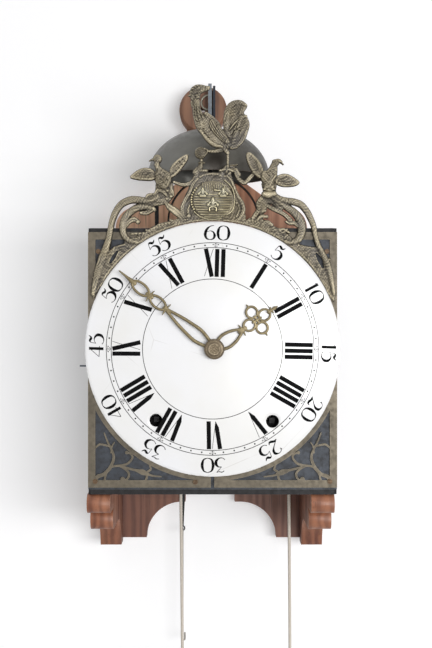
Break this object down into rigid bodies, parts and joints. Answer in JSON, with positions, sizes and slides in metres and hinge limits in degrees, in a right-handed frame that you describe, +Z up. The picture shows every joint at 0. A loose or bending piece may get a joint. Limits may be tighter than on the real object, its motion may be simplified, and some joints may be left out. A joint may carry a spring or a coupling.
{
  "type": "comtoise clock",
  "caption": "Weight-driven wall clock: enamel dial in brass corner frames, cast rooster crest, bell and iron cage movement on a wooden wall bracket.",
  "frame": {"origin": "on the wall face of the backboard, in the middle of the wall bracket, level with the top of the two side brackets that the clock stands on", "axes": "+Z up, +Y into the wall, so the dial faces -Y, and +X to the right of someone who faces the dial"},
  "size_m": [0.2513, 0.1855, 0.6261],
  "materials": {
    "wood": "waxed walnut-coloured wood",
    "iron": "dark wrought iron",
    "blued_iron": "blued iron sheet",
    "brass": "old cast brass with dark recesses",
    "bright_brass": "worn yellow brass",
    "steel": "worn steel",
    "enamel": "white enamel fired on copper, with black numerals",
    "bell_bronze": "dark cast bell metal",
    "linen": "twisted linen cord"
  },
  "bodies": {
    "clock": {"backboard": "wood", "side_bracket_left": "wood", "side_bracket_right": "wood", "bracket_screws": "steel", "bottom_plate": "iron", "top_plate": "iron", "corner_posts": "iron", "front_plate": "blued_iron", "front_bars": "iron", "back_bars": "iron", "back_sheet": "iron", "dial": "enamel", "frame_left": "brass", "frame_right": "brass", "frame_screws": "steel", "crest": "brass", "medallion": "bright_brass", "rooster": "brass", "hanger_leaves": "steel", "hanger_ring": "steel", "bell": "bell_bronze", "bell_hoop": "iron", "bell_nut": "iron", "hoop_bolts": "steel", "hammer_spring": "steel", "crown_cock": "bright_brass", "pendulum_cock": "iron", "going_cord": "linen", "strike_cord": "linen", "weight_hooks": "iron"},
    "minute_work": {"minute_pinion": "bright_brass", "minute_hand": "bright_brass", "hand_nut": "brass"},
    "hour_work": {"hour_wheel": "bright_brass", "hour_hand": "bright_brass"},
    "reverser": {"reverser_wheel": "bright_brass"},
    "going_drum": {"going_drum": "steel", "going_great_wheel": "bright_brass", "going_winding": "linen"},
    "going_second": {"going_second_arbor": "steel", "going_second_wheel": "bright_brass", "motion_wheel": "bright_brass"},
    "contrate": {"contrate_wheel": "bright_brass"},
    "crown_wheel": {"crown_wheel": "bright_brass"},
    "pendulum": {"pendulum_blade": "iron"},
    "pendulum_link": {"pendulum_link": "steel"},
    "verge": {"verge": "steel", "crutch": "steel"},
    "strike_drum": {"strike_drum": "steel", "strike_great_wheel": "bright_brass", "strike_winding": "linen"},
    "pin_wheel": {"pin_wheel": "bright_brass"},
    "warning_wheel": {"warning_wheel": "bright_brass"},
    "fly": {"fly": "steel"},
    "hammer": {"hammer": "iron", "hammer_head": "iron"},
    "rack": {"strike_rack": "steel"},
    "trip_lever": {"trip_lever": "steel"},
    "door_left": {"door_left": "iron"},
    "door_right": {"door_right": "iron"}
  },
  "joints": [
    {"name": "minute_hand_turn", "type": "hinge", "parent": "clock", "child": "minute_work", "pos_m": [0.0035, -0.16, 0.1405], "axis": [0, 1, 0], "continuous": true},
    {"name": "hour_hand_turn", "type": "hinge", "parent": "clock", "child": "hour_work", "pos_m": [0.0035, -0.16, 0.1405], "axis": [0, 1, 0], "continuous": true},
    {"name": "reverser_turn", "type": "hinge", "parent": "clock", "child": "reverser", "pos_m": [0.0035, -0.156, 0.1141], "axis": [0, 1, 0], "continuous": true},
    {"name": "going_drum_turn", "type": "hinge", "parent": "clock", "child": "going_drum", "pos_m": [-0.0526, -0.1, 0.072], "axis": [0, 1, 0], "continuous": true},
    {"name": "going_second_turn", "type": "hinge", "parent": "clock", "child": "going_second", "pos_m": [-0.0526, -0.1, 0.13], "axis": [0, 1, 0], "continuous": true},
    {"name": "contrate_turn", "type": "hinge", "parent": "clock", "child": "contrate", "pos_m": [-0.03, -0.1, 0.1796], "axis": [0, 1, 0], "continuous": true},
    {"name": "crown_wheel_turn", "type": "hinge", "parent": "clock", "child": "crown_wheel", "pos_m": [-0.03, -0.118, 0.22], "axis": [0, 0, 1], "continuous": true},
    {"name": "pendulum_swing", "type": "hinge", "parent": "clock", "child": "pendulum", "pos_m": [-0.03, -0.021, 0.24], "axis": [0, 1, 0], "range_deg": [-5, 5]},
    {"name": "verge_swing", "type": "hinge", "parent": "clock", "child": "verge", "pos_m": [-0.03, -0.021, 0.24], "axis": [0, 1, 0], "range_deg": [-6, 6]},
    {"name": "link_swing", "type": "hinge", "parent": "pendulum", "child": "pendulum_link", "pos_m": [-0.0313, -0.021, -0.0586], "axis": [0, 1, 0], "range_deg": [-25, 25]},
    {"name": "pin_wheel_turn", "type": "hinge", "parent": "clock", "child": "pin_wheel", "pos_m": [0.0594, -0.1, 0.129], "axis": [0, 1, 0], "continuous": true},
    {"name": "strike_drum_turn", "type": "hinge", "parent": "clock", "child": "strike_drum", "pos_m": [0.0594, -0.1, 0.071], "axis": [0, 1, 0], "continuous": true},
    {"name": "warning_wheel_turn", "type": "hinge", "parent": "clock", "child": "warning_wheel", "pos_m": [0.0594, -0.1, 0.175], "axis": [0, 1, 0], "continuous": true},
    {"name": "fly_turn", "type": "hinge", "parent": "clock", "child": "fly", "pos_m": [0.0594, -0.1, 0.215], "axis": [0, 1, 0], "continuous": true},
    {"name": "hammer_swing", "type": "hinge", "parent": "clock", "child": "hammer", "pos_m": [-0.0566, -0.078, 0.215], "axis": [0, 1, 0], "range_deg": [0, 12], "stiffness_Nm_per_rad": 0.08, "springref_deg": -17.19},
    {"name": "rack_slide", "type": "slide", "parent": "clock", "child": "rack", "axis": [0, 0, 1], "range_m": [0, 0.015]},
    {"name": "trip_lever_turn", "type": "hinge", "parent": "clock", "child": "trip_lever", "pos_m": [0.02, -0.165, 0.124], "axis": [0, 1, 0], "range_deg": [-3, 0], "stiffness_Nm_per_rad": 0.05, "springref_deg": 11.46},
    {"name": "door_left_turn", "type": "hinge", "parent": "clock", "child": "door_left", "pos_m": [-0.1152, -0.0294, 0.128], "axis": [0, 0, 1], "range_deg": [-100, 0]},
    {"name": "door_right_turn", "type": "hinge", "parent": "clock", "child": "door_right", "pos_m": [0.1188, -0.0294, 0.128], "axis": [0, 0, 1], "range_deg": [0, 100]}
  ],
  "couplings": [
    {"joint": "hour_hand_turn", "follows": "minute_hand_turn", "ratio": 0.083333},
    {"joint": "reverser_turn", "follows": "minute_hand_turn", "ratio": -0.33333},
    {"joint": "going_second_turn", "follows": "minute_hand_turn", "ratio": -0.57143},
    {"joint": "going_drum_turn", "follows": "minute_hand_turn", "ratio": 0.071429},
    {"joint": "contrate_turn", "follows": "minute_hand_turn", "ratio": 5.7143},
    {"joint": "crown_wheel_turn", "follows": "minute_hand_turn", "ratio": -68.571},
    {"joint": "verge_swing", "follows": "pendulum_swing", "ratio": 1},
    {"joint": "strike_drum_turn", "follows": "pin_wheel_turn", "ratio": -0.125},
    {"joint": "warning_wheel_turn", "follows": "pin_wheel_turn", "ratio": -8},
    {"joint": "fly_turn", "follows": "pin_wheel_turn", "ratio": 80}
  ]
}
